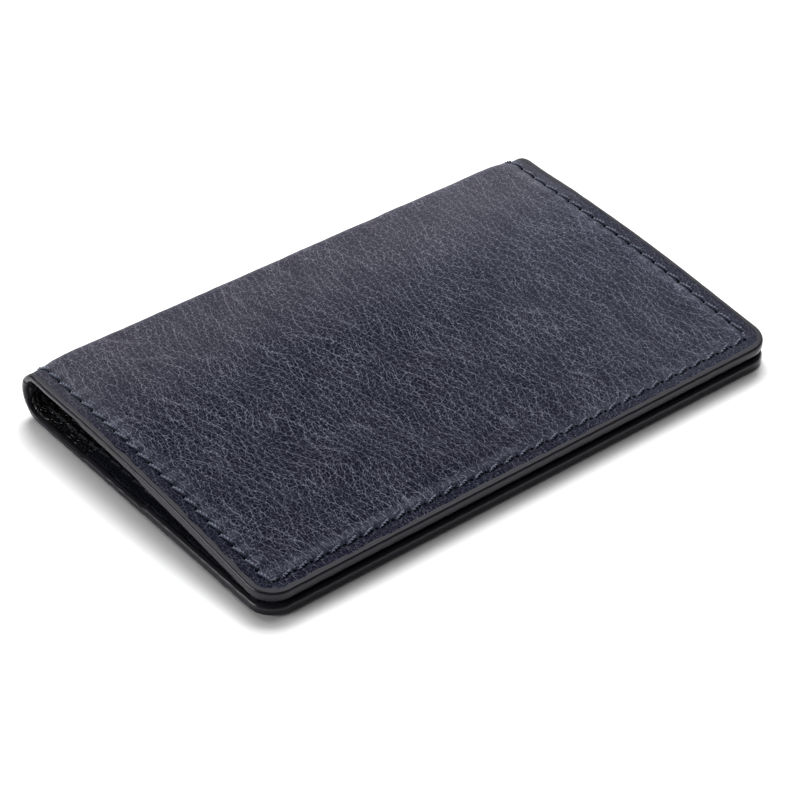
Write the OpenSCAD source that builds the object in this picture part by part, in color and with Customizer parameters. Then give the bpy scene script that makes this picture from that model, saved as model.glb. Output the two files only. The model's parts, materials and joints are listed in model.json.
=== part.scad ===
// Slim bifold card holder, closed and lying on its back leaf.
// +X runs along the fold, +Y points from the opening edge to the fold, +Z is up.
// The origin is the centre of the base.  Millimetres.

/* [Closed size] */
// Length of the leaves along the fold
holder_w = 103.5; // [98:0.5:112]
// Depth of the closed holder, from the opening edge to the outside of the fold
closed_depth = 66; // [64:0.5:72]
// Outside radius of the rolled fold
fold_r = 4.7; // [4.4:0.1:6]
// Gap between the two leaves at the opening edge
mouth_gap = 0.6; // [0.4:0.1:1.2]
// Radius of the two outer corners of each leaf
corner_r = 4.5; // [3:0.5:8]

/* [Leather] */
// Thickness of the outer cover
cover_t = 0.85; // [0.7:0.05:1]
// Thickness of the lining
lining_t = 0.3; // [0.3:0.05:0.4]
// Thickness of each pocket panel
pocket_t = 0.4; // [0.3:0.05:0.5]
// Depth of the deeper pocket's mouth, measured from the outside of the fold
rear_mouth = 17.5; // [14:0.5:24]
// Depth of the shallower pocket's mouth, measured from the outside of the fold
front_mouth = 34; // [28:0.5:40]
// Thickness of the board that stiffens each leaf
board_t = 0.25; // [0.15:0.05:0.3]

/* [Edges and seam] */
// Width of the painted edge, seen from above
paint_w = 1; // [1:0.1:1.4]
// Rounding of the painted edge
paint_round = 0.5; // [0.3:0.05:0.5]
// Distance of the seam from the edge
seam_inset = 3; // [2.6:0.1:4]
// Thickness of the thread
thread_d = 0.4; // [0.3:0.05:0.45]
// Number of stitches along the opening edge
long_stitches = 31; // [24:1:38]
// Number of stitches down each side of a leaf
side_stitches = 19; // [14:1:24]

/* [Hidden] */
$fn = 64;

half_w = holder_w / 2;
inner_half_w = half_w - paint_w;
fold_y = closed_depth / 2 - fold_r;
fold_t = cover_t + lining_t;
rear_t = fold_t + pocket_t;
leaf_t = rear_t + pocket_t;

// The back leaf is level and the front leaf slopes down from the fold to the opening edge.
back_len = closed_depth - fold_r;
front_slope = asin((2 * fold_r - 2 * leaf_t - mouth_gap) / back_len);
front_len = (back_len - fold_r * sin(front_slope)) / cos(front_slope);

// The roll of the fold turns through fold_turn.  Three equal hinges share it, each on the outside
// of the roll, so that each leaf keeps half a hinge's turn as its own curved end.
fold_turn = 180 + front_slope;
hinge_turn = fold_turn / 3;
leaf_turn = hinge_turn / 2;

// The board stays inside the seam, and stops short of the part that rolls.
board_inset = seam_inset + 2;
board_fold_gap = 16;

seam_x = half_w - seam_inset;
long_pitch = 2 * seam_x / long_stitches;
stitch_fill = 0.82;
fold_stitch_turn = leaf_turn;
// The inner thread lies almost sunk in the leather.
inner_proud = 0.1;

leather_blue = [0.16, 0.17, 0.24];
lining_black = [0.06, 0.06, 0.07];
paint_grey = [0.22, 0.22, 0.23];
thread_blue = [0.38, 0.42, 0.55];
board_brown = [0.55, 0.45, 0.33];

// ---- Places ----

// Puts a leaf drawn in its own frame (outer face down, opening edge at y = 0) at the back.
module at_back() {
    translate([0, -closed_depth / 2, 0]) children();
}

// Turns such a leaf over, and hangs it from the top of the fold.
module at_front() {
    translate([0, fold_y, fold_r])
        rotate([front_slope, 0, 0])
            translate([0, -front_len, fold_r])
                mirror([0, 0, 1])
                    children();
}

// Puts a piece of the roll at an angle that is counted from the bottom of the fold.
module at_fold(angle) {
    translate([0, fold_y, fold_r]) rotate([angle, 0, 0]) children();
}

// ---- Shapes that the leaves share ----

// Outline of a layer: two rounded corners at the opening edge, square at the other end.
module leaf_outline(start, end, half, r) {
    translate([-half, start + r]) square([2 * half, end - start - r]);
    translate([-half + r, start]) square([2 * (half - r), r]);
    for (side = [-1, 1]) {
        translate([side * (half - r), start + r]) circle(r = r);
    }
}

// A flat layer from z0 upward, inside the painted edge, from the opening edge to y = end.
module leaf_layer(end, z0, t) {
    translate([0, 0, z0])
        linear_extrude(height = t)
            leaf_outline(paint_w, end, inner_half_w, corner_r - paint_w);
}

// Turns a profile, drawn as [distance from the fold's centre, x], through an angle about X.
// It starts at the bottom of the fold.
module roll(turn) {
    rotate([0, 90, 0])
        rotate_extrude(angle = turn, $fn = 96)
            children();
}

// One curved layer of the fold, from radius r outward through t.
module fold_layer(turn, r, t) {
    roll(turn) translate([r, -inner_half_w]) square([t, 2 * inner_half_w]);
}

// The grooves that the thread lies in, where they run round the fold.
module fold_grooves(turn) {
    for (side = [-1, 1]) {
        roll(turn)
            translate([fold_r - thread_d, side * seam_x - thread_d / 2])
                square([thread_d, thread_d]);
    }
}

// Cross-section of the painted edge: flat where it meets the leather, and rounded outside.
module paint_profile(t) {
    square([paint_w - paint_round, t]);
    translate([0, paint_round]) square([paint_w, t - 2 * paint_round]);
    for (z = [paint_round, t - paint_round]) {
        translate([paint_w - paint_round, z]) circle(r = paint_round);
    }
}

// The same section laid out for roll(), on the +X end of the fold.
module fold_paint_profile() {
    translate([fold_r - fold_t, inner_half_w])
        mirror([1, -1])
            paint_profile(fold_t);
}

module fold_paint(turn) {
    for (side = [0, 1]) {
        roll(turn) mirror([0, side]) fold_paint_profile();
    }
}

// A straight stretch of painted edge along the +X side, from y0 to y1.
module side_paint(y0, y1, t) {
    translate([inner_half_w, y1, 0])
        rotate([90, 0, 0])
            linear_extrude(height = y1 - y0)
                paint_profile(t);
}

// ---- Stitches ----

// One stitch: it lies along +X on the outer face, goes down through a leaf of thickness t,
// and comes back on the inner face.
module stitch(pitch, t) {
    run = pitch * stitch_fill;
    top = t + inner_proud;
    translate([0, thread_d / 2, 0])
        rotate([90, 0, 0])
            linear_extrude(height = thread_d)
                union() {
                    square([run, thread_d]);
                    square([thread_d, top]);
                    translate([0, top - thread_d]) square([run, thread_d]);
                }
}

// One stitch round the fold, from the bottom through most of turn.
module fold_stitch(turn) {
    run = turn * stitch_fill;
    roll(run) translate([fold_r - thread_d, -thread_d / 2]) square([thread_d, thread_d]);
    roll(run) translate([fold_r - fold_t - inner_proud, -thread_d / 2]) square([thread_d, thread_d]);
    translate([-thread_d / 2, 0, -fold_r + thread_d / 2])
        cube([thread_d, thread_d, fold_t + inner_proud - thread_d / 2]);
}

// count stitches at each end of the fold, starting at the bottom.
module fold_stitches(count) {
    for (side = [-1, 1]) {
        for (i = [0 : count - 1]) {
            translate([side * seam_x, 0, 0])
                rotate([(i + (1 - stitch_fill) / 2) * fold_stitch_turn, 0, 0])
                    fold_stitch(fold_stitch_turn);
        }
    }
}

// ---- The layers of one leaf ----

// Thickness of a leaf of length len at y: each pocket mouth is a step.
function leaf_t_at(y, len) =
    y > len + fold_r - rear_mouth ? fold_t :
    y > len + fold_r - front_mouth ? rear_t : leaf_t;

// The board and the shallow recess that it lies in have the same shape.
module board_shape(len) {
    translate([0, 0, cover_t - board_t])
        linear_extrude(height = board_t)
            leaf_outline(board_inset, len - board_fold_gap, half_w - board_inset, corner_r / 2);
}

// The groove along the seam, cut from the outer face of the cover.
module seam_groove(len) {
    for (side = [-1, 1]) {
        translate([side * seam_x - thread_d / 2, seam_inset - thread_d / 2, 0])
            cube([thread_d, len - seam_inset + thread_d / 2, thread_d]);
    }
    translate([-seam_x, seam_inset - thread_d / 2, 0]) cube([2 * seam_x, thread_d, thread_d]);
}

module cover(len) {
    difference() {
        leaf_layer(len, 0, cover_t);
        board_shape(len);
        seam_groove(len);
    }
    translate([0, len, fold_r])
        difference() {
            fold_layer(leaf_turn, fold_r - cover_t, cover_t);
            fold_grooves(leaf_turn);
        }
}

module lining(len) {
    leaf_layer(len, cover_t, lining_t);
    translate([0, len, fold_r]) fold_layer(leaf_turn, fold_r - fold_t, lining_t);
}

module rear_pocket(len) {
    leaf_layer(len + fold_r - rear_mouth, fold_t, pocket_t);
}

module front_pocket(len) {
    leaf_layer(len + fold_r - front_mouth, rear_t, pocket_t);
}

// The painted edge follows the leaf's outline, and steps down at each pocket mouth.
module edge_paint(len) {
    front_mouth_y = len + fold_r - front_mouth;
    rear_mouth_y = len + fold_r - rear_mouth;
    for (side = [0, 1]) {
        mirror([side, 0, 0]) {
            side_paint(corner_r, front_mouth_y, leaf_t);
            side_paint(front_mouth_y, rear_mouth_y, rear_t);
            side_paint(rear_mouth_y, len, fold_t);
            translate([half_w - corner_r, corner_r, 0])
                rotate([0, 0, -90])
                    rotate_extrude(angle = 90)
                        translate([corner_r - paint_w, 0])
                            paint_profile(leaf_t);
        }
    }
    translate([-half_w + corner_r, paint_w, 0])
        rotate([90, 0, 90])
            linear_extrude(height = 2 * (half_w - corner_r))
                mirror([1, 0])
                    paint_profile(leaf_t);
    translate([0, len, fold_r]) fold_paint(leaf_turn);
}

// The seam runs up one side, along the opening edge and down the other side.
module thread(len) {
    side_pitch = (len - seam_inset) / side_stitches;
    for (side = [-1, 1]) {
        for (i = [0 : side_stitches - 1]) {
            y = seam_inset + (i + 0.5 - stitch_fill / 2) * side_pitch;
            translate([side * seam_x, y, 0])
                rotate([0, 0, 90])
                    stitch(side_pitch, leaf_t_at(y + side_pitch, len));
        }
    }
    for (i = [0 : long_stitches - 1]) {
        translate([-seam_x + (i + 0.5 - stitch_fill / 2) * long_pitch, seam_inset, 0])
            stitch(long_pitch, leaf_t);
    }
    translate([0, len, fold_r]) fold_stitches(1);
}

// ---- The back leaf ----

module back_cover() {
    color(leather_blue) at_back() cover(back_len);
}

module back_board() {
    color(board_brown) at_back() board_shape(back_len);
}

module back_lining() {
    color(lining_black) at_back() lining(back_len);
}

module back_rear_pocket() {
    color(lining_black) at_back() rear_pocket(back_len);
}

module back_front_pocket() {
    color(leather_blue) at_back() front_pocket(back_len);
}

module back_edge_paint() {
    color(paint_grey) at_back() edge_paint(back_len);
}

module back_thread() {
    color(thread_blue) at_back() thread(back_len);
}

// ---- The fold, in two halves between the three hinges ----

module fold_cover(start) {
    color(leather_blue)
        at_fold(start)
            difference() {
                fold_layer(hinge_turn, fold_r - cover_t, cover_t);
                fold_grooves(hinge_turn);
            }
}

module fold_lining(start) {
    color(lining_black) at_fold(start) fold_layer(hinge_turn, fold_r - fold_t, lining_t);
}

module fold_edge_paint(start) {
    color(paint_grey) at_fold(start) fold_paint(hinge_turn);
}

module fold_thread(start) {
    color(thread_blue) at_fold(start) fold_stitches(2);
}

module lower_fold_cover() {
    fold_cover(leaf_turn);
}

module lower_fold_lining() {
    fold_lining(leaf_turn);
}

module lower_fold_edge_paint() {
    fold_edge_paint(leaf_turn);
}

module lower_fold_thread() {
    fold_thread(leaf_turn);
}

module upper_fold_cover() {
    fold_cover(leaf_turn + hinge_turn);
}

module upper_fold_lining() {
    fold_lining(leaf_turn + hinge_turn);
}

module upper_fold_edge_paint() {
    fold_edge_paint(leaf_turn + hinge_turn);
}

module upper_fold_thread() {
    fold_thread(leaf_turn + hinge_turn);
}

// ---- The front leaf ----

module front_cover() {
    color(leather_blue) at_front() cover(front_len);
}

module front_board() {
    color(board_brown) at_front() board_shape(front_len);
}

module front_lining() {
    color(lining_black) at_front() lining(front_len);
}

module front_rear_pocket() {
    color(lining_black) at_front() rear_pocket(front_len);
}

module front_front_pocket() {
    color(leather_blue) at_front() front_pocket(front_len);
}

module front_edge_paint() {
    color(paint_grey) at_front() edge_paint(front_len);
}

module front_thread() {
    color(thread_blue) at_front() thread(front_len);
}

back_cover();
back_board();
back_lining();
back_rear_pocket();
back_front_pocket();
back_edge_paint();
back_thread();
lower_fold_cover();
lower_fold_lining();
lower_fold_edge_paint();
lower_fold_thread();
upper_fold_cover();
upper_fold_lining();
upper_fold_edge_paint();
upper_fold_thread();
front_cover();
front_board();
front_lining();
front_rear_pocket();
front_front_pocket();
front_edge_paint();
front_thread();
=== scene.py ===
"""A slim bifold card holder in navy grained leather, closed, on a white studio floor.

The leather, lining, thread and edge paint run round the fold in one piece.  Each is built in three
lengths that meet in the middle of the fold's two halves.
Lengths are in metres.  A place on the holder is given by x along the fold, s round the outside from
the back leaf's opening edge to the front leaf's, and a depth below the outer face.
"""

import json
import math
from types import SimpleNamespace

import bmesh
import bpy
import numpy as np
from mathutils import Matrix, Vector


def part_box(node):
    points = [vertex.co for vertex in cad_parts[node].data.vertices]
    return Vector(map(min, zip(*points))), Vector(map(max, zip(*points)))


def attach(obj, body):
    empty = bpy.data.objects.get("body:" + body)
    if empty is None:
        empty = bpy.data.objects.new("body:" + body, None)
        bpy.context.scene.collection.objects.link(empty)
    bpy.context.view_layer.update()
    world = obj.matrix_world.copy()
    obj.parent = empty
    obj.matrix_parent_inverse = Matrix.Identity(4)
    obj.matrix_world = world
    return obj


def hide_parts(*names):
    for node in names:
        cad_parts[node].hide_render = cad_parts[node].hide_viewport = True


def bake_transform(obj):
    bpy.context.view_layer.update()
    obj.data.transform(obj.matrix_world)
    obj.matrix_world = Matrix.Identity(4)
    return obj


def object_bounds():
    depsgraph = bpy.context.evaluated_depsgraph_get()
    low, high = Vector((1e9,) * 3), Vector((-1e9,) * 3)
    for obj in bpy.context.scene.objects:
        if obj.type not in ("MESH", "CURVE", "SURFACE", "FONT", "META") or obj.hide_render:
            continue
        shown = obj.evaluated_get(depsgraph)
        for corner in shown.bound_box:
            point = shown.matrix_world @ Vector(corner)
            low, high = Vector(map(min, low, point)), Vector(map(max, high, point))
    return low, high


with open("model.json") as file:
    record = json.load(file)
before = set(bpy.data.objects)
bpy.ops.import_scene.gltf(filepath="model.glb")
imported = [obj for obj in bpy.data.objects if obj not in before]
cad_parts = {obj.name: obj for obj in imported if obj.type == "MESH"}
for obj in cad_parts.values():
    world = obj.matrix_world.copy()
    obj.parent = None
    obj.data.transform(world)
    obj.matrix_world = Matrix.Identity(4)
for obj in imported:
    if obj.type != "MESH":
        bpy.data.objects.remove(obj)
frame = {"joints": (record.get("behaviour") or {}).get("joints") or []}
cad_low, cad_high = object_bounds()

MM = 0.001

# ---- The holder's main lengths, from the frame ----

HALF_W = cad_high.x
FOLD_R = cad_high.z / 2
FOLD_Y = cad_high.y - FOLD_R
BACK_LEN = FOLD_Y - cad_low.y
HINGE_TURN = math.radians(frame["joints"][0]["range_deg"][1])
FOLD_TURN = 3 * HINGE_TURN
SLOPE = FOLD_TURN - math.pi
FRONT_LEN = (BACK_LEN - FOLD_R * math.sin(SLOPE)) / math.cos(SLOPE)
FOLD_LEN = FOLD_R * FOLD_TURN
THIRD = FOLD_LEN / 3
TOTAL = BACK_LEN + FOLD_LEN + FRONT_LEN

rear_low, rear_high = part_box("back_rear_pocket")
front_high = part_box("back_front_pocket")[1]
board_low, board_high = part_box("back_board")
COVER_T = board_high.z
BOARD_TOP = board_low.z
FOLD_T = rear_low.z
REAR_T = rear_high.z
LEAF_T = front_high.z
PAINT_W = HALF_W - rear_high.x
# How far each pocket mouth is from the opening edge
REAR_MOUTH = rear_high.y - cad_low.y
FRONT_MOUTH = front_high.y - cad_low.y

# ---- Leather and seam ----

CORNER_R = 4.5 * MM
SEAM_INSET = 3.0 * MM
SEAM_X = HALF_W - SEAM_INSET
# Each side seam starts at the front leaf's corner, or FAR_STEP before it at the far end.
SIDE_STITCHES = 42
SIDE_PITCH = 3.09 * MM
FAR_STEP = 1.5 * MM
# The opening-edge seam begins and ends a short turning stitch away from the corners.
LONG_STITCHES = 31
LONG_START = -SEAM_X + 1.5 * MM
LONG_END = SEAM_X - 1.0 * MM
LONG_PITCH = (LONG_END - LONG_START) / LONG_STITCHES
SIDE_SLANT = math.radians(14)
LONG_SLANT = math.radians(16)
INNER_SLANT = math.radians(-7)
# How much of the pitch a stitch covers
SIDE_FILL = 0.84
LONG_FILL = 0.7
TURN_FILL = 0.9

# Spacing of the points on the leather
GRID = 0.34 * MM
# The leather inside the seam is raised, the front leaf is bowed up, and the fold's ends droop.
PILLOW = 0.3 * MM
BOW = 0.8 * MM
END_DROP = 0.4 * MM
# The back leaf's outer face is pressed in, so that its seam stays off the floor.
BACK_SINK = 0.16 * MM
# The thread pulls in a groove with a dimple at each hole, and the leather swells between the holes.
GROOVE_DEPTH = 0.18 * MM
GROOVE_R = 0.4 * MM
HOLE_DEPTH = 0.25 * MM
HOLE_R = 0.42 * MM
PUCKER = 0.035 * MM
# The lining is pushed together into creases inside the fold.
LINING_CREASE = 0.16 * MM
LINING_CREASE_STEP = 2.3 * MM
# How much of the seam's pull reaches the inner faces
INNER_PULL = 0.4

# ---- Places on the holder ----


def smooth(low, high, value):
    """0 below low, 1 above high, and a smooth step between."""
    t = np.clip((value - low) / (high - low), 0, 1)
    return t * t * (3 - 2 * t)


def lift(x, s):
    """How far the leather stands off the CAD's plain leaves and fold."""
    along = np.clip((s - BACK_LEN - FOLD_LEN) / FRONT_LEN, 0, 1)
    # 16 brings the middle of the curve to BOW.
    bow = BOW * 16 * along**2 * (1 - along) ** 2
    turn = (s - BACK_LEN) / FOLD_LEN
    by_fold = smooth(0.1, 0.55, turn) * smooth(1.9, 1.0, turn)
    return bow - END_DROP * by_fold * smooth(6 * MM, 1 * MM, HALF_W - np.abs(x))


def place(x, s, depth):
    """The points at x, s and depth.  The three are arrays of one shape, or numbers."""
    x, s, depth = np.broadcast_arrays(x, s, depth)
    turn = np.clip((s - BACK_LEN) / FOLD_R, 0, FOLD_TURN)
    beyond = s - BACK_LEN - FOLD_R * turn
    radius = FOLD_R - depth + lift(x, s)
    y = FOLD_Y + radius * np.sin(turn) + beyond * np.cos(turn)
    z = FOLD_R - radius * np.cos(turn) + beyond * np.sin(turn)
    return np.stack([x, y, z], axis=-1)


def from_opening(s):
    return np.minimum(s, TOTAL - s)


def from_border(x, s):
    """Distance from the holder's outline, which has two round corners on each leaf."""
    side = HALF_W - np.abs(x)
    end = from_opening(s)
    corner = CORNER_R - np.hypot(np.minimum(side - CORNER_R, 0), np.minimum(end - CORNER_R, 0))
    return np.where((side < CORNER_R) & (end < CORNER_R), corner, np.minimum(side, end))


def leaf_thickness(s):
    """The leaves get thicker, over a short ramp, where each pocket begins."""
    ramp = 0.5 * MM
    end = from_opening(s)
    rear = smooth(REAR_MOUTH + ramp, REAR_MOUTH - ramp, end)
    front = smooth(FRONT_MOUTH + ramp, FRONT_MOUTH - ramp, end)
    return FOLD_T + (REAR_T - FOLD_T) * rear + (LEAF_T - REAR_T) * front


def ripple(x, s, wavelength, seed, waves=14):
    """Uneven waves of about that length and a height of about 1, the same on every run."""
    rng = np.random.default_rng(seed)
    total = 0
    for _ in range(waves):
        turn, phase = rng.uniform(0, math.tau, 2)
        number = math.tau / (wavelength * rng.uniform(0.7, 1.4))
        total = total + np.cos(number * (x * math.cos(turn) + s * math.sin(turn)) + phase)
    return total / math.sqrt(waves)


def side_start(x):
    """Where the first hole of a side seam is, by the front leaf's corner."""
    return TOTAL - SEAM_INSET - FAR_STEP * (np.asarray(x) > 0)


def to_hole(x, s):
    """Distance along the nearest seam to its nearest awl hole."""
    side_phase = (side_start(x) - s) / SIDE_PITCH
    long_phase = (x - LONG_START) / LONG_PITCH
    on_side = HALF_W - np.abs(x) < from_opening(s)
    side_way = (side_phase - np.round(side_phase)) * SIDE_PITCH
    long_way = (long_phase - np.round(long_phase)) * LONG_PITCH
    return np.where(on_side, side_way, long_way)


def seam_pull(x, s):
    """How far the thread pulls the leather in."""
    across = from_border(x, s) - SEAM_INSET
    groove = GROOVE_DEPTH * np.exp(-((across / GROOVE_R) ** 2))
    dimple = HOLE_DEPTH * np.exp(-(across**2 + to_hole(x, s) ** 2) / HOLE_R**2)
    return groove + dimple


def pucker(x, s):
    """Small swellings between the holes, on the inner side of the seam."""
    across = from_border(x, s) - SEAM_INSET
    near = smooth(0, 0.5 * MM, across) * smooth(3.2 * MM, 0.6 * MM, across)
    between = -np.cos(math.tau * to_hole(x, s) / SIDE_PITCH)
    return PUCKER * near * (between + 0.8 * ripple(x, s, 1.6 * MM, 3))


def plain_rise(x, s):
    """Height of the leather above the plain outline: a flat border, and a soft pillow inside it."""
    border = from_border(x, s)
    on_front = smooth(BACK_LEN, BACK_LEN + FOLD_LEN / 2, s)
    inside = smooth(SEAM_INSET, SEAM_INSET + 5 * MM, border)
    pillow = (0.5 + 0.5 * on_front) * PILLOW * inside
    sink = (1 - on_front) * BACK_SINK
    uneven = 0.035 * MM * ripple(x, s, 9 * MM, 1) * inside
    small = 0.012 * MM * ripple(x, s, 2.4 * MM, 2) * smooth(PAINT_W, PAINT_W + MM, border)
    return pillow - sink + pucker(x, s) + (uneven + small) * on_front


def cover_rise(x, s):
    return plain_rise(x, s) - seam_pull(x, s)


def lining_depth(x, s):
    """Depth of the lining's face, which is creased inside the fold."""
    turn = (s - BACK_LEN) / FOLD_LEN
    in_fold = smooth(-0.15, 0.15, turn) * smooth(1.15, 0.85, turn)
    crease = np.abs(np.sin(math.pi * (s / LINING_CREASE_STEP + 0.5 * ripple(x, s, 16 * MM, 5))))
    flat = 0.02 * MM * ripple(x, s, 6 * MM, 4)
    return FOLD_T + flat + LINING_CREASE * in_fold * crease - INNER_PULL * seam_pull(x, s)


# ---- Meshes ----


def new_object(name, points, faces, skin, material):
    """A mesh object.  skin is each point's x and s for its material.

    Paint and thread have a third value in it: how far in from the border, and which face of the leaf.
    """
    mesh = bpy.data.meshes.new(name)
    mesh.from_pydata(points.tolist(), [], faces)
    attribute = mesh.attributes.new("skin", "FLOAT_VECTOR", "POINT")
    flat = np.zeros((len(points), 3), np.float32)
    flat[:, : skin.shape[1]] = skin / MM
    attribute.data.foreach_set("vector", flat.ravel())
    mesh.polygons.foreach_set("use_smooth", [True] * len(mesh.polygons))
    mesh.materials.append(material)
    mesh.validate()
    obj = bpy.data.objects.new(name, mesh)
    bpy.context.scene.collection.objects.link(obj)
    work = bmesh.new()
    work.from_mesh(mesh)
    bmesh.ops.recalc_face_normals(work, faces=work.faces)
    work.to_mesh(mesh)
    work.free()
    return obj


def steps(start, stop, step):
    return np.linspace(start, stop, max(2, round(abs(stop - start) / step)) + 1)


def leaf_rows(inset, stop, step):
    """Distances from the opening edge, and the half width at each, with two round corners."""
    radius = CORNER_R - inset
    angles = np.linspace(0, math.pi / 2, 15)
    corner = inset + radius * (1 - np.cos(angles))
    half = HALF_W - inset - radius * (1 - np.sin(angles))
    rest = steps(CORNER_R, stop, step)[1:]
    return np.concatenate([corner, rest]), np.concatenate([half, np.full(len(rest), HALF_W - inset)])


def layer(name, s_rows, halves, face_depth, back_depth, material, step=GRID):
    """A closed sheet: a fine grid at face_depth(x, s), and a plain back at back_depth."""
    columns = round(2 * HALF_W / step) + 1
    across = np.linspace(-1, 1, columns)
    x = halves[:, None] * across[None, :]
    s = np.repeat(s_rows[:, None], columns, axis=1)
    face = place(x, s, face_depth(x, s)).reshape(-1, 3)
    back_x = halves[:, None] * np.array([-1, 1])[None, :]
    back_s = np.repeat(s_rows[:, None], 2, axis=1)
    back = place(back_x, back_s, back_depth).reshape(-1, 3)
    skin = np.concatenate(
        [np.stack([x.ravel(), s.ravel()], -1), np.stack([back_x.ravel(), back_s.ravel()], -1)]
    )
    rows = len(s_rows)
    first = (np.arange(rows - 1)[:, None] * columns + np.arange(columns - 1)[None, :]).ravel()
    grid = np.stack([first, first + 1, first + columns + 1, first + columns], -1).tolist()
    base = rows * columns
    for i in range(rows - 1):
        left, right = base + 2 * i, base + 2 * i + 1
        grid.append([left, left + 2, right + 2, right])
        grid.append([i * columns, (i + 1) * columns, left + 2, left])
        grid.append([(i + 1) * columns - 1, right, right + 2, (i + 2) * columns - 1])
    for i in (0, rows - 1):
        grid.append(list(range(i * columns, (i + 1) * columns)) + [base + 2 * i + 1, base + 2 * i])
    return new_object(name, np.concatenate([face, back]), grid, skin, material)


def sweep(name, rings, skins, material):
    """A closed solid for each list of rings: each ring is one closed cross-section."""
    points, faces, skin = [], [], []
    base = 0
    for ring_set, skin_set in zip(rings, skins):
        count, sides = ring_set.shape[:2]
        for i in range(count - 1):
            for j in range(sides):
                a, b = base + i * sides + j, base + i * sides + (j + 1) % sides
                faces.append([a, b, b + sides, a + sides])
        faces.append(list(range(base, base + sides)))
        faces.append(list(range(base + (count - 1) * sides, base + count * sides)))
        points.append(ring_set.reshape(-1, 3))
        skin.append(skin_set.reshape(-1, skin_set.shape[-1]))
        base += count * sides
    return new_object(name, np.concatenate(points), faces, np.concatenate(skin), material)


# ---- Painted edge ----

# The paint's wall bulges out by this share of its width, and laps over both faces from this share on.
PAINT_BULGE = 0.7
PAINT_LAP = 0.85
# Its inner limit wanders, and its wall swells, along the edge.
PAINT_WANDER = 0.12 * MM
PAINT_SWELL = 0.02 * MM
# How far it stands proud of the outer face and of the inner one
PAINT_OUTER_PROUD = 0.03 * MM
PAINT_INNER_PROUD = 0.02 * MM


def paint_section():
    """Cross-section of the painted edge, from the outer face round to the inner one.

    Each point is a share of the paint's width in from the border, and a share of the thickness.
    """
    wall = []
    for angle in np.linspace(-math.pi / 2, math.pi / 2, 15):
        squarish = 0.85 if angle > 0 else 0.6
        out = abs(math.cos(angle)) ** squarish
        deep = math.copysign(abs(math.sin(angle)) ** squarish, angle)
        wall.append((PAINT_BULGE * (1 - out), 0.5 + 0.5 * deep))
    return np.array([(1.0, 0.0), (PAINT_LAP, 0.0)] + wall + [(PAINT_LAP, 1.0), (1.0, 1.0)])


def painted_edge(path_x, path_s, inward_x, inward_s, seed):
    """Rings along one stretch of border, and the skin at each point."""
    section = paint_section()
    thickness = leaf_thickness(path_s)[:, None]
    run = path_x + path_s
    wander = PAINT_WANDER * ripple(run, 0 * run, 5 * MM, seed)[:, None]
    swell = PAINT_SWELL * ripple(run, 0 * run, 3 * MM, seed + 1)[:, None]
    share = section[None, :, 0]
    inset = share * PAINT_W + wander * smooth(0.5, 1, share) - swell * (1 - share)
    x = path_x[:, None] + inward_x[:, None] * inset
    s = path_s[:, None] + inward_s[:, None] * inset
    rise = cover_rise(x, s) + PAINT_OUTER_PROUD * smooth(0, 0.5, inset / PAINT_W)
    level = section[None, :, 1]
    depth = level * (thickness + PAINT_INNER_PROUD) - (1 - level) * rise
    return place(x, s, depth), np.stack([x, s, 0 * x + share * MM], -1)


def leaf_border(stop, step):
    """The border of a leaf, from one end of the fold round both corners to the other end.

    Returns x, the distance from the opening edge, and the two parts of the inward direction.
    """
    middle = HALF_W - CORNER_R
    up = steps(stop, CORNER_R, step)
    turn = np.linspace(0, math.pi / 2, 20)[1:]
    along = steps(middle, -middle, step)[1:]
    side_x = np.concatenate([np.full(len(up), HALF_W), middle + CORNER_R * np.cos(turn)])
    side_end = np.concatenate([up, CORNER_R * (1 - np.sin(turn))])
    side_in_x = np.concatenate([-np.ones(len(up)), -np.cos(turn)])
    side_in_end = np.concatenate([np.zeros(len(up)), np.sin(turn)])

    def both_sides(side, front, mirror):
        return np.concatenate([side, front, mirror * side[-2::-1]])

    return (
        both_sides(side_x, along, -1),
        both_sides(side_end, np.zeros(len(along)), 1),
        both_sides(side_in_x, np.zeros(len(along)), -1),
        both_sides(side_in_end, np.ones(len(along)), 1),
    )


# ---- Thread ----

PLY_R = 0.145 * MM
HELIX_R = 0.135 * MM
TWIST = 1.2 * MM
THREAD_LIFT = 0.09 * MM
# How far the ends of a stitch go down into their holes
STITCH_DIVE = 0.5 * MM
# The back leaf rests on its stitches, which are pressed in by this much.
THREAD_SINK = 0.22 * MM


def stitch(first, last, fill, slant, inside):
    """The two plies of the stitch between two holes, each given as (x, s)."""
    first, last = np.array(first), np.array(last)
    pitch = np.linalg.norm(last - first)
    way = (last - first) / pitch
    aside = np.array([way[1], -way[0]])
    along = np.linspace(-0.5, 0.5, 25) * pitch * fill
    height = THREAD_LIFT - STITCH_DIVE * np.abs(2 * along / (pitch * fill)) ** 7
    around = np.linspace(0, math.tau, 8)[:-1]
    rings, skins = [], []
    for phase in (0, math.pi):
        turn = math.tau * along / TWIST + phase
        across = along * math.tan(slant) + HELIX_R * np.cos(turn)
        across = across[:, None] + PLY_R * np.cos(around)[None, :]
        up = (height + HELIX_R * np.sin(turn))[:, None] + PLY_R * np.sin(around)[None, :]
        middle = (first + last) / 2
        x = middle[0] + along[:, None] * way[0] + across * aside[0]
        s = middle[1] + along[:, None] * way[1] + across * aside[1]
        sink = THREAD_SINK * smooth(BACK_LEN + FOLD_LEN / 2, BACK_LEN, s)
        depth = leaf_thickness(s) + up if inside else sink - plain_rise(x, s) - up
        rings.append(place(x, s, depth))
        run = along[:, None] + first[0] + 0 * up
        skins.append(np.stack([run, up, 0 * up + inside * MM], -1))
    return rings, skins


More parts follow.
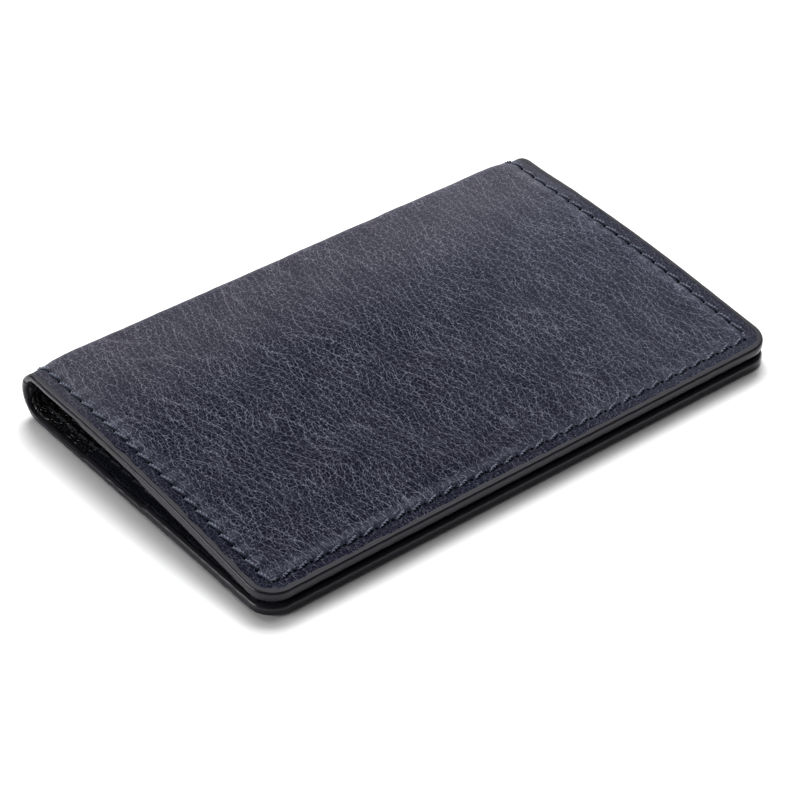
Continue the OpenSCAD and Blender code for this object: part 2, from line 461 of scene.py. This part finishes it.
def seam_stitches():
    """Every stitch as (first hole, last hole, fill, slant)."""
    found = []
    for side in (-1, 1):
        start = float(side_start(side))
        for i in range(SIDE_STITCHES):
            low = (side * SEAM_X, start - (i + 1) * SIDE_PITCH)
            high = (side * SEAM_X, start - i * SIDE_PITCH)
            found.append((low, high, SIDE_FILL, SIDE_SLANT))
        back_end = start - SIDE_STITCHES * SIDE_PITCH
        turn_x = LONG_START if side < 0 else LONG_END
        front_turn = (turn_x, TOTAL - SEAM_INSET)
        back_turn = (turn_x, SEAM_INSET)
        found.append(((side * SEAM_X, start), front_turn, TURN_FILL, 0.0))
        found.append(((side * SEAM_X, back_end), back_turn, TURN_FILL, 0.0))
    for s in (SEAM_INSET, TOTAL - SEAM_INSET):
        for i in range(LONG_STITCHES):
            left = (LONG_START + i * LONG_PITCH, s)
            right = (LONG_START + (i + 1) * LONG_PITCH, s)
            found.append((left, right, LONG_FILL, LONG_SLANT))
    return found


def seam(name, s_low, s_high, material):
    """The stitches whose middle lies between s_low and s_high, on both faces."""
    rings, skins = [], []
    for first, last, fill, slant in seam_stitches():
        if s_low <= (first[1] + last[1]) / 2 < s_high:
            for inside in (False, True):
                made = stitch(first, last, fill, INNER_SLANT if inside else slant, inside)
                rings.extend(made[0])
                skins.extend(made[1])
    return sweep(name, rings, skins, material)


# ---- Materials ----

IOR = 1.45


class Shader:
    """Adds nodes to one material."""

    def __init__(self, name):
        self.material = bpy.data.materials.new(name)
        self.material.use_nodes = True
        self.tree = self.material.node_tree
        self.surface = self.tree.nodes["Principled BSDF"]

    def node(self, kind, inputs=(), **settings):
        made = self.tree.nodes.new(kind)
        for key, value in settings.items():
            setattr(made, key, value)
        for key, value in dict(inputs).items():
            self.feed(made.inputs[key], value)
        return made

    def feed(self, socket, value):
        if isinstance(value, bpy.types.NodeSocket):
            self.tree.links.new(value, socket)
        else:
            socket.default_value = value

    def math(self, operation, a, b=0.0, c=0.0, clamp=False):
        made = self.node("ShaderNodeMath", {0: a, 1: b, 2: c}, operation=operation, use_clamp=clamp)
        return made.outputs[0]

    def product(self, first, *others):
        """All of them multiplied together."""
        for other in others:
            first = self.math("MULTIPLY", first, other)
        return first

    def scaled(self, value, factor, base):
        """value * factor + base"""
        return self.math("MULTIPLY_ADD", value, factor, base)

    def ramp(self, value, low, high):
        """0 at low to 1 at high, smooth."""
        made = self.node(
            "ShaderNodeMapRange",
            {"Value": value, "From Min": low, "From Max": high, "To Min": 0.0, "To Max": 1.0},
            interpolation_type="SMOOTHSTEP",
        )
        return made.outputs["Result"]

    def vector(self, operation, a, b):
        made = self.node("ShaderNodeVectorMath", {0: a, 1: b}, operation=operation)
        return made.outputs["Vector"]

    def noise(self, vector, scale, detail=2.0, roughness=0.5):
        made = self.node(
            "ShaderNodeTexNoise",
            {"Vector": vector, "Scale": scale, "Detail": detail, "Roughness": roughness},
        )
        return made.outputs["Fac"], made.outputs["Color"]

    def axis(self, vector, index):
        return self.node("ShaderNodeSeparateXYZ", {0: vector}).outputs[index]

    def stretched(self, vector, x_scale, s_scale):
        return self.vector("MULTIPLY", vector, (x_scale, s_scale, 1.0))

    def turned(self, vector, angle):
        made = self.node(
            "ShaderNodeVectorRotate", {"Vector": vector, "Angle": angle}, rotation_type="Z_AXIS"
        )
        return made.outputs[0]

    def cells(self, vector, scale=1.0):
        """Distance to the nearest border between irregular cells."""
        made = self.node(
            "ShaderNodeTexVoronoi",
            {"Vector": vector, "Scale": scale, "Randomness": 1.0},
            feature="DISTANCE_TO_EDGE",
            voronoi_dimensions="2D",
        )
        return made.outputs["Distance"]

    def strands(self, vector, density, wander):
        """0 on wandering lines that run along the second axis, and up to 0.5 between them."""
        slow = self.noise(self.stretched(vector, 0.22, 0.07), 1.0, 3.0)[0]
        level = self.scaled(self.axis(vector, 0), density, self.product(slow, wander))
        return self.math("ABSOLUTE", self.math("SUBTRACT", self.math("FRACT", level), 0.5))

    def mix(self, factor, a, b):
        made = self.node("ShaderNodeMix", data_type="RGBA")
        self.feed(made.inputs[0], factor)
        self.feed(made.inputs[6], a)
        self.feed(made.inputs[7], b)
        return made.outputs[2]

    def skin(self):
        """x and s in millimetres, and a third value for paint and thread."""
        return self.node("ShaderNodeAttribute", attribute_name="skin").outputs["Vector"]

    def warp(self, vector, scale, amount):
        """Bends a pattern so that its lines aren't straight."""
        shift = self.vector("SUBTRACT", self.noise(vector, scale)[1], (0.5, 0.5, 0.5))
        return self.vector("ADD", vector, self.vector("MULTIPLY", shift, (amount, amount, 0.0)))

    def bump(self, height, depth):
        made = self.node("ShaderNodeBump", {"Height": height, "Distance": depth, "Strength": 1.0})
        return made.outputs["Normal"]

    def finish(self, color, roughness, normal, **constants):
        self.feed(self.surface.inputs["Base Color"], color)
        self.feed(self.surface.inputs["Roughness"], roughness)
        self.feed(self.surface.inputs["Normal"], normal)
        self.surface.inputs["IOR"].default_value = IOR
        for key, value in constants.items():
            self.surface.inputs[key.replace("_", " ")].default_value = value
        return self.material


def seam_coordinates(sh, skin):
    """Distances in millimetres: in from the sides, in from the opening edge, and to the nearest holes."""
    x, s = sh.axis(skin, 0), sh.axis(skin, 1)
    half_total = TOTAL / 2 / MM
    from_middle = sh.math("ABSOLUTE", sh.math("SUBTRACT", s, half_total))
    end = sh.math("SUBTRACT", half_total, from_middle)
    side = sh.math("SUBTRACT", HALF_W / MM, sh.math("ABSOLUTE", x))

    def hole_distance(value, start, pitch):
        phase = sh.math("DIVIDE", sh.math("SUBTRACT", value, start), pitch)
        return sh.product(sh.math("SUBTRACT", phase, sh.math("ROUND", phase)), pitch)

    far = sh.math("GREATER_THAN", x, 0.0)
    start = sh.scaled(far, -FAR_STEP / MM, (TOTAL - SEAM_INSET) / MM)
    side_hole = hole_distance(s, start, SIDE_PITCH / MM)
    long_hole = hole_distance(x, LONG_START / MM, LONG_PITCH / MM)
    return side, end, side_hole, long_hole


def awl_holes(sh, side, end, side_hole, long_hole):
    """1 in the diamond holes of the seams, and 0 elsewhere."""
    inset = SEAM_INSET / MM
    hole_half_w, hole_half_len = 0.3, 0.36

    def diamond(from_edge, along):
        across = sh.math("ABSOLUTE", sh.math("SUBTRACT", from_edge, inset))
        a = sh.math("DIVIDE", across, hole_half_w)
        b = sh.math("DIVIDE", sh.math("ABSOLUTE", along), hole_half_len)
        return sh.ramp(sh.math("ADD", a, b), 1.25, 0.75)

    on_side = sh.math("GREATER_THAN", end, inset - 0.5)
    on_long = sh.math("GREATER_THAN", side, inset + 0.5)
    side_holes = sh.product(diamond(side, side_hole), on_side)
    long_holes = sh.product(diamond(end, long_hole), on_long)
    return sh.math("MAXIMUM", side_holes, long_holes)


# How strongly each kind of light line shows in the grain; their lightness is partly painted sheen
MEDIUM_LINE = 0.14
CREASE_LINE = 0.38
WRINKLE_LINE = 0.2
# How much painted sheen lightens the leather by the fold, on the swellings beside the seam, and at the
# far end
FOLD_SHEEN = 0.17
SEAM_SHEEN = 0.2
FAR_SHEEN = 0.1
# How far from the fold the painted sheen and the smoother grain reach, in millimetres
FOLD_REACH = 24.0
GRAIN_DEPTH = 0.018 * MM


def leather_zones(sh, skin):
    """Where on the holder the leather is, each as 0 to 1."""
    side, end, side_hole, long_hole = seam_coordinates(sh, skin)
    border = sh.math("MINIMUM", side, end)
    inset = SEAM_INSET / MM
    fold = BACK_LEN / MM
    by_fold = sh.ramp(end, fold - FOLD_REACH, fold)
    beyond_seam = sh.ramp(border, inset - 0.4, inset + 0.3)
    return SimpleNamespace(
        inside=sh.ramp(border, inset - 0.2, inset + 1.2),
        outside=sh.ramp(border, inset + 0.3, inset - 0.3),
        by_seam=sh.product(sh.ramp(border, inset + 3.4, inset + 0.3), beyond_seam),
        by_fold=by_fold,
        # The grain is stretched smoother by the fold.
        strength=sh.scaled(by_fold, -0.55, 1.0),
        far_end=sh.ramp(sh.axis(skin, 0), -10.0, HALF_W / MM),
        between_holes=sh.ramp(sh.math("ABSOLUTE", side_hole), 0.2, 1.3),
        holes=awl_holes(sh, side, end, side_hole, long_hole),
    )


def leather_grain(sh, skin):
    """The patterns of the grain.

    The creases run from the fold towards the opening edge, in two sets that cross at a small angle.
    """
    bent = sh.warp(sh.warp(skin, 0.06, 6.0), 0.4, 0.8)
    tight = sh.warp(bent, 1.8, 0.16)
    jagged = sh.warp(tight, 1.2, 0.5)
    return SimpleNamespace(
        patch=sh.noise(skin, 0.13)[0],
        drift=sh.noise(sh.vector("ADD", skin, (40.0, 9.0, 0.0)), 0.09)[0],
        broken=sh.noise(sh.stretched(skin, 0.45, 0.12), 1.0, 3.0)[0],
        broad=sh.noise(sh.stretched(bent, 0.3, 0.11), 1.0)[0],
        tiny=sh.noise(tight, 3.6, 3.0, 0.7)[0],
        fine=sh.cells(sh.stretched(tight, 2.3, 1.0)),
        medium=sh.cells(sh.stretched(tight, 1.0, 0.4)),
        creases=sh.strands(sh.turned(jagged, 0.3), 0.6, 1.8),
        crossing=sh.strands(sh.turned(jagged, -0.28), 0.75, 2.2),
        wrinkles=sh.strands(sh.turned(jagged, 0.75), 0.3, 2.0),
    )


def grain_lines_and_sheen(sh, zone, grain):
    """The light lines that part the pebbles: the grain's pattern, lightened with painted sheen that
    stands for glints on the creases' slopes.  The fine ones are stronger beside a crease.
    """
    beside = sh.math(
        "MAXIMUM", sh.ramp(grain.creases, 0.24, 0.0), sh.ramp(grain.crossing, 0.24, 0.0)
    )
    fine = sh.product(
        sh.ramp(grain.fine, 0.14, 0.0), sh.ramp(grain.tiny, 0.34, 0.6), sh.scaled(beside, 0.6, 0.56)
    )
    medium = sh.product(sh.ramp(grain.medium, 0.1, 0.0), sh.ramp(grain.patch, 0.25, 0.55))
    crease = sh.product(sh.ramp(grain.creases, 0.08, 0.0), sh.ramp(grain.broken, 0.3, 0.6))
    crossing = sh.product(sh.ramp(grain.crossing, 0.08, 0.0), sh.ramp(grain.broken, 0.66, 0.4))
    wrinkle = sh.product(sh.ramp(grain.wrinkles, 0.09, 0.0), sh.ramp(grain.drift, 0.48, 0.62))
    lines = sh.scaled(sh.product(medium, zone.strength, zone.inside), MEDIUM_LINE, fine)
    lines = sh.scaled(sh.product(crease, zone.strength, zone.inside), CREASE_LINE, lines)
    lines = sh.scaled(crossing, CREASE_LINE, lines)
    lines = sh.scaled(wrinkle, WRINKLE_LINE, lines)
    lines = sh.product(lines, sh.scaled(zone.inside, 0.5, 0.5))
    # Tiny painted glints, stronger outside the seam
    glint_speckle = sh.product(sh.ramp(grain.tiny, 0.5, 0.7), sh.scaled(zone.outside, 0.1, 0.07))
    return sh.product(sh.math("ADD", glint_speckle, lines), sh.scaled(grain.broad, 1.3, 0.2))


def leather_sheen(sh, zone, grain):
    """Painted sheen: lighter leather by the fold, on the swellings beside the seam, and at the far end.
    """
    # Painted sheen on the swellings beside the seam, strongest between the holes
    swellings = sh.product(zone.by_seam, sh.scaled(zone.between_holes, 0.7, 0.3))
    painted_sheen = sh.scaled(zone.by_fold, FOLD_SHEEN, sh.product(swellings, SEAM_SHEEN))
    painted_sheen = sh.scaled(zone.far_end, FAR_SHEEN, painted_sheen)
    return sh.product(painted_sheen, sh.scaled(grain.broad, 0.6, 0.7))


def leather_relief(sh, skin, zone, grain):
    """Pebbles, ridges, swellings by the seam, and the holes, as shares of GRAIN_DEPTH."""
    height = sh.product(sh.ramp(grain.fine, 0.0, 0.3), 0.5)
    pebbles = sh.product(sh.ramp(grain.medium, 0.0, 0.2), zone.strength, zone.inside)
    ridges = sh.product(sh.ramp(grain.creases, 0.0, 0.3), zone.strength, zone.inside)
    swellings = sh.product(sh.noise(skin, 1.1)[0], zone.by_seam)
    height = sh.scaled(pebbles, 0.9, height)
    height = sh.math("ADD", ridges, height)
    height = sh.scaled(grain.tiny, 0.4, height)
    height = sh.scaled(zone.holes, -9.0, height)
    return sh.scaled(swellings, 3.0, height)


def cover_leather():
    """Navy natural grain: dark pebbles parted by fine light lines that are partly painted sheen, painted
    sheen by the fold, beside the seam and at the far end, and painted shade in the awl holes.
    """
    sh = Shader("cover_leather")
    skin = sh.skin()
    zone = leather_zones(sh, skin)
    grain = leather_grain(sh, skin)
    light = sh.math(
        "ADD", grain_lines_and_sheen(sh, zone, grain), leather_sheen(sh, zone, grain), clamp=True
    )
    pebble = sh.mix(grain.drift, (0.0020, 0.0036, 0.0115, 1), (0.0048, 0.0034, 0.0105, 1))
    # The colour of the light lines, partly painted sheen, a little greyer by the fold
    line = sh.mix(zone.by_fold, (0.145, 0.152, 0.195, 1), (0.15, 0.148, 0.18, 1))
    # Painted shade: the awl holes are near black
    color = sh.mix(zone.holes, sh.mix(light, pebble, line), (0.001, 0.001, 0.0015, 1))
    normal = sh.bump(leather_relief(sh, skin, zone, grain), GRAIN_DEPTH)
    roughness = sh.scaled(grain.tiny, 0.1, 0.27)
    return sh.finish(color, roughness, normal, Specular_IOR_Level=0.004)


def fine_leather(name, dark, light, scale, depth, rough, shine):
    """A smoother leather with a small, even grain, for the lining and the pockets."""
    sh = Shader(name)
    skin = sh.skin()
    bent = sh.warp(skin, 0.8, 0.8)
    cells = sh.cells(bent, scale)
    tiny = sh.noise(bent, 5.0, 3.0, 0.6)[0]
    patch = sh.noise(skin, 0.2)[0]
    line = sh.ramp(cells, 0.16, 0.0)
    shade = sh.math("MULTIPLY_ADD", line, 0.5, sh.product(patch, 0.5), clamp=True)
    height = sh.scaled(tiny, 0.6, sh.ramp(cells, 0.0, 0.3))
    roughness = sh.scaled(tiny, 0.25, rough)
    normal = sh.bump(height, depth)
    return sh.finish(sh.mix(shade, dark, light), roughness, normal, Specular_IOR_Level=shine)


def painted():
    """Dark grey edge paint, brushed on by hand: satin on the wall, and matt where it laps over a face."""
    sh = Shader("edge_paint")
    skin = sh.skin()
    broad = sh.noise(skin, 0.5)[0]
    small = sh.noise(skin, 5.0, 3.0)[0]
    lip = sh.ramp(sh.axis(skin, 2), 0.26, 0.55)
    color = sh.mix(broad, (0.0110, 0.0104, 0.0150, 1), (0.0180, 0.0172, 0.0240, 1))
    roughness = sh.scaled(lip, 0.5, sh.scaled(small, 0.12, 0.15))
    normal = sh.bump(sh.scaled(small, 0.35, broad), 0.007 * MM)
    return sh.finish(color, roughness, normal, Specular_IOR_Level=0.3)


def waxed_thread():
    """The fibres of the plies: blue on the outer faces, where the lighter fibres are partly painted
    glints, and nearly black on the inner ones.
    """
    sh = Shader("thread")
    skin = sh.skin()
    fibre = sh.ramp(sh.noise(sh.stretched(skin, 4.0, 22.0), 1.0)[0], 0.3, 0.75)
    blue = sh.mix(fibre, (0.016, 0.020, 0.036, 1), (0.19, 0.215, 0.30, 1))
    color = sh.mix(sh.axis(skin, 2), blue, (0.020, 0.022, 0.030, 1))
    return sh.finish(color, sh.scaled(fibre, 0.2, 0.35), sh.bump(fibre, 0.03 * MM))


def paperboard():
    """Grey-brown board with short fibres."""
    sh = Shader("board")
    position = sh.node("ShaderNodeTexCoord").outputs["Object"]
    fibre = sh.noise(sh.vector("MULTIPLY", position, (900.0, 2600.0, 900.0)), 1.0, 3.0)[0]
    color = sh.mix(fibre, (0.2, 0.155, 0.11, 1), (0.36, 0.29, 0.21, 1))
    return sh.finish(color, sh.scaled(fibre, 0.1, 0.8), sh.bump(fibre, 0.05 * MM))


LEATHER = cover_leather()
LINING = fine_leather(
    "lining_leather",
    dark=(0.0055, 0.0055, 0.0065, 1),
    light=(0.035, 0.036, 0.042, 1),
    scale=1.2,
    depth=0.22 * MM,
    rough=0.1,
    shine=0.5,
)
POCKET = fine_leather(
    "pocket_leather",
    dark=(0.006, 0.0068, 0.0125, 1),
    light=(0.040, 0.043, 0.062, 1),
    scale=1.3,
    depth=0.05 * MM,
    rough=0.36,
    shine=0.12,
)
PAINT = painted()
THREAD = waxed_thread()
BOARD = paperboard()

# ---- The pieces ----

FIRST_CUT = BACK_LEN + THIRD
SECOND_CUT = BACK_LEN + 2 * THIRD
# Each length's name, the bodies that its two ends follow, and where it starts and stops
LENGTHS = [
    ("back", "back_leaf", "lower_fold", 0.0, FIRST_CUT),
    ("fold", "lower_fold", "upper_fold", FIRST_CUT, SECOND_CUT),
    ("front", "upper_fold", "front_leaf", SECOND_CUT, TOTAL),
]
# The layers reach a little way under the paint.
LAYER_INSET = PAINT_W - 0.25 * MM
# A hair's breadth between one layer and the next
CLEARANCE = 0.01 * MM


def nodes_of(length, part):
    if length == "fold":
        return [f"lower_fold_{part}", f"upper_fold_{part}"]
    return [f"{length}_{part}"]


def bend(obj, length, part):
    """Hides the CAD parts that the piece stands in for, and bakes its placement into its mesh."""
    index = LENGTHS.index(length)
    start = place(0, BACK_LEN + index * THIRD, 0)
    end = place(0, BACK_LEN + (index + 1) * THIRD, 0)
    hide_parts(*nodes_of(length[0], part))
    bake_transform(obj)


def rows_of(length, inset, step):
    """The s of each row of a length, and its half width."""
    name, _, _, low, high = length
    if name == "fold":
        s = steps(low, high, step)
        return s, np.full(len(s), HALF_W - inset)
    ends, halves = leaf_rows(inset, high - low, step)
    return (ends if name == "back" else TOTAL - ends), halves


def build_leather(length):
    """The cover and the lining of one length."""
    name = length[0]
    s_rows, halves = rows_of(length, LAYER_INSET, GRID)
    cover = layer(
        f"{name}_cover_skin", s_rows, halves, lambda x, s: -cover_rise(x, s), BOARD_TOP, LEATHER
    )
    bend(cover, length, "cover")

    s_rows, halves = rows_of(length, LAYER_INSET, 2 * GRID)
    back = COVER_T + CLEARANCE
    lining = layer(f"{name}_lining_skin", s_rows, halves, lining_depth, back, LINING, 2 * GRID)
    bend(lining, length, "lining")


def build_paint(length):
    """The painted edge of one length: two short stretches at the fold, or once round a leaf."""
    name, _, _, low, high = length
    step = 0.4 * MM
    if name == "fold":
        path = steps(low, high, step)
        ones, none = np.ones(len(path)), np.zeros(len(path))
        made = [painted_edge(side * HALF_W * ones, path, -side * ones, none, 11) for side in (-1, 1)]
    else:
        x, end, inward_x, inward_end = leaf_border(high - low, step)
        s, inward_s = (end, inward_end) if name == "back" else (TOTAL - end, -inward_end)
        made = [painted_edge(x, s, inward_x, inward_s, 13)]
    paint = sweep(f"{name}_edge", [m[0] for m in made], [m[1] for m in made], PAINT)
    bend(paint, length, "edge_paint")


def build_thread(length):
    name, _, _, low, high = length
    bend(seam(f"{name}_seam", low, high, THREAD), length, "thread")


def build_pocket(leaf, part, mouth, bottom, top):
    """A pocket panel, with a rounded mouth and a pressed line beside it."""
    fine_from = mouth - 0.5 * MM
    lip_r = 0.3 * MM
    line_inset, line_w, line_depth = 1.6 * MM, 0.22 * MM, 0.07 * MM
    ends, halves = leaf_rows(LAYER_INSET, fine_from, 2 * GRID)
    lip = steps(fine_from, mouth, 0.06 * MM)[1:]
    ends = np.concatenate([ends, lip])
    halves = np.concatenate([halves, np.full(len(lip), HALF_W - LAYER_INSET)])

    def depth(x, s):
        to_mouth = mouth - from_opening(s)
        inner = np.clip(1 - to_mouth / lip_r, 0, 1)
        rounded = (1 - np.sqrt(np.clip(1 - inner**2, 0, 1))) * 0.8 * (top - bottom)
        pressed = line_depth * np.exp(-(((to_mouth - line_inset) / line_w) ** 2))
        uneven = 0.015 * MM * ripple(x, s, 8 * MM, 21)
        return top + uneven - rounded - pressed - INNER_PULL * seam_pull(x, s)

    s_rows = ends if leaf == "back" else TOTAL - ends
    back = bottom + CLEARANCE
    panel = layer(f"{leaf}_{part}_panel", s_rows, halves, depth, back, POCKET, 2 * GRID)
    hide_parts(f"{leaf}_{part}")
    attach(panel, f"{leaf}_leaf")


def build_board(leaf):
    """The thin board that lies inside the leaf's cover."""
    ends = steps(HALF_W - board_high.x, board_high.y - cad_low.y, MM)
    s_rows = ends if leaf == "back" else TOTAL - ends
    halves = np.full(len(s_rows), board_high.x)
    name = f"{leaf}_stiffener"
    board = layer(name, s_rows, halves, lambda x, s: BOARD_TOP, COVER_T, BOARD, 2 * MM)
    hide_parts(f"{leaf}_board")
    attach(board, f"{leaf}_leaf")


for length in LENGTHS:
    build_leather(length)
    build_paint(length)
    build_thread(length)
for leaf in ("back", "front"):
    build_pocket(leaf, "rear_pocket", REAR_MOUTH, FOLD_T, REAR_T)
    build_pocket(leaf, "front_pocket", FRONT_MOUTH, REAR_T, LEAF_T)
    build_board(leaf)

# ---- Studio ----

CAMERA_AZIMUTH = math.radians(-38.7)
CAMERA_ELEVATION = math.radians(37.32)
CAMERA_DISTANCE = 432.6 * MM
CAMERA_TARGET = Vector((-2.67 * MM, -2.79 * MM, 0))
CAMERA_LENS = 120.5


def direction(azimuth, elevation):
    """The way out from the holder.

    Azimuth 0 is straight out from the opening edge, and it grows anticlockwise as seen from above.
    """
    flat = math.cos(elevation)
    return Vector((math.sin(azimuth) * flat, -math.cos(azimuth) * flat, math.sin(elevation)))


def add_camera():
    data = bpy.data.cameras.new("camera")
    data.lens = CAMERA_LENS
    camera = bpy.data.objects.new("camera", data)
    camera.location = CAMERA_TARGET + CAMERA_DISTANCE * direction(CAMERA_AZIMUTH, CAMERA_ELEVATION)
    camera.rotation_euler = (CAMERA_TARGET - camera.location).to_track_quat("-Z", "Y").to_euler()
    bpy.context.scene.collection.objects.link(camera)
    bpy.context.scene.camera = camera


def add_light(name, azimuth, elevation, distance, size, power):
    """A white area light that faces the holder.  Its angles are in degrees."""
    data = bpy.data.lights.new(name, "AREA")
    data.shape = "RECTANGLE"
    data.size, data.size_y = size
    data.energy = power
    light = bpy.data.objects.new(name, data)
    light.location = distance * direction(math.radians(azimuth), math.radians(elevation))
    light.rotation_euler = (-light.location).to_track_quat("-Z", "Y").to_euler()
    bpy.context.scene.collection.objects.link(light)


def add_floor():
    mesh = bpy.data.meshes.new("floor")
    reach = 3.0
    corners = [(-reach, -reach, 0), (reach, -reach, 0), (reach, reach, 0), (-reach, reach, 0)]
    mesh.from_pydata(corners, [], [(0, 1, 2, 3)])
    white = bpy.data.materials.new("studio_white")
    white.use_nodes = True
    surface = white.node_tree.nodes["Principled BSDF"]
    surface.inputs["Base Color"].default_value = (0.95, 0.95, 0.95, 1)
    surface.inputs["Roughness"].default_value = 0.9
    surface.inputs["Specular IOR Level"].default_value = 0.1
    mesh.materials.append(white)
    floor = bpy.data.objects.new("floor", mesh)
    bpy.context.scene.collection.objects.link(floor)


def add_world():
    world = bpy.data.worlds.new("studio")
    world.use_nodes = True
    background = world.node_tree.nodes["Background"]
    background.inputs["Color"].default_value = (1, 1, 1, 1)
    background.inputs["Strength"].default_value = 0.06
    bpy.context.scene.world = world


add_camera()
add_floor()
add_world()
add_light("key_softbox", 141, 50, 0.9, (0.6, 0.5), 12.5)
add_light("right_softbox", 93, 62, 0.9, (0.22, 0.7), 1.8)
add_light("back_softbox", 186, 62, 0.9, (0.22, 0.7), 1.6)
add_light("left_softbox", -112, 15, 0.8, (0.45, 0.24), 3.2)
bpy.context.scene.view_settings.view_transform = "Standard"
